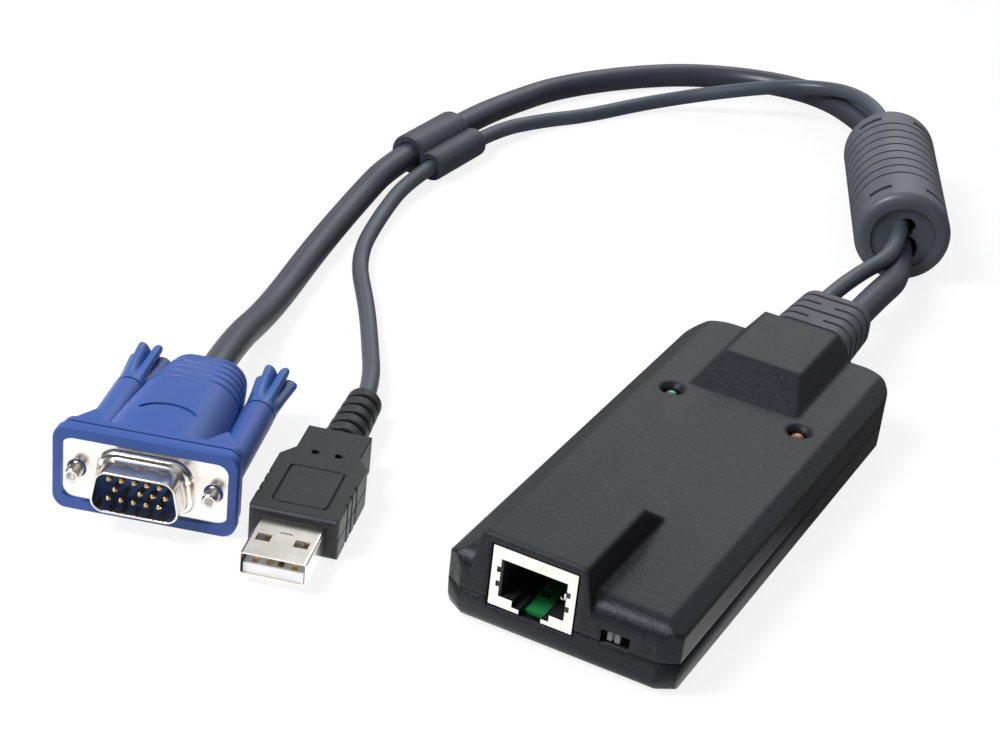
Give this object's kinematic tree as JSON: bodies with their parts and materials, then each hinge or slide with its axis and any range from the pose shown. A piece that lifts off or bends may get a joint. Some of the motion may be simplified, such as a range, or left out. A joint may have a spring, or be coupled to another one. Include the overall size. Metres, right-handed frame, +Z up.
{
  "type": "kvm dongle",
  "caption": "Server interface dongle: black housing with a network socket, and blue video and black USB plugs on grey cables with a ferrite and a clip.",
  "frame": {"origin": "bottom centre of the housing, without its cables", "axes": "+Y from the network socket's face along the housing towards the cables; +Z up, off the underside; +X to the right when looking along +Y"},
  "size_m": [0.1427, 0.2739, 0.0216],
  "materials": {
    "housing_black": "satin",
    "boot_grey": "matte",
    "ferrite_grey": "satin",
    "clip_grey": "satin",
    "video_cable": "satin",
    "usb_cable": "satin",
    "plug_blue": "satin",
    "knob_blue": "satin",
    "usb_black": "matte",
    "nickel": "polished",
    "steel": "satin",
    "gold": "polished",
    "insert_black": "matte",
    "insulator_blue": "satin",
    "tongue_white": "gloss",
    "switch_grey": "satin",
    "board_green": "gloss",
    "chip_black": "matte",
    "core_black": "matte",
    "lamp_green": "clear",
    "lamp_amber": "clear",
    "header_white": "satin",
    "wire_dark": "matte"
  },
  "bodies": {
    "dongle": {"upper_shell": "housing_black", "lower_shell": "housing_black", "housing_screws": "steel", "circuit_board": "board_green", "network_jack_shield": "nickel", "network_jack_insert": "insert_black", "network_jack_contacts": "gold", "recovery_switch_case": "insert_black", "recovery_switch_leads": "gold", "link_lamp": "lamp_green", "power_lamp": "lamp_amber", "lamp_leads": "steel", "video_capture_chip": "chip_black", "controller_chip": "chip_black", "memory_chip": "chip_black", "crystal_can": "steel", "network_transformer": "chip_black", "video_header": "header_white", "usb_header": "header_white", "strain_relief": "boot_grey", "ferrite_overmould": "ferrite_grey", "ferrite_core": "core_black", "cable_clip": "clip_grey", "video_plug_hood": "plug_blue", "video_plug_shell": "nickel", "video_plug_insulator": "insulator_blue", "video_plug_pins": "gold", "usb_plug_grip": "usb_black", "usb_plug_shell": "nickel", "usb_plug_insulator": "tongue_white", "usb_plug_contacts": "gold", "video_cable": "video_cable", "video_wires": "wire_dark", "usb_cable": "usb_cable", "usb_wires": "wire_dark"},
    "thumbscrew_left": {"jackscrew_left": "nickel", "thumbscrew_knob_left": "knob_blue"},
    "thumbscrew_right": {"jackscrew_right": "nickel", "thumbscrew_knob_right": "knob_blue"},
    "switch_slider": {"recovery_switch_slider": "switch_grey"}
  },
  "joints": [
    {"name": "left_thumbscrew", "type": "hinge", "parent": "dongle", "child": "thumbscrew_left", "pos_m": [-0.09914, -0.03525, 0.0084], "axis": [-0.3007, 0.9537, 0], "continuous": true},
    {"name": "right_thumbscrew", "type": "hinge", "parent": "dongle", "child": "thumbscrew_right", "pos_m": [-0.0753, -0.02773, 0.0084], "axis": [-0.3007, 0.9537, 0], "continuous": true},
    {"name": "recovery_switch", "type": "slide", "parent": "dongle", "child": "switch_slider", "axis": [1, 0, 0], "range_m": [0, 0.0015]}
  ]
}
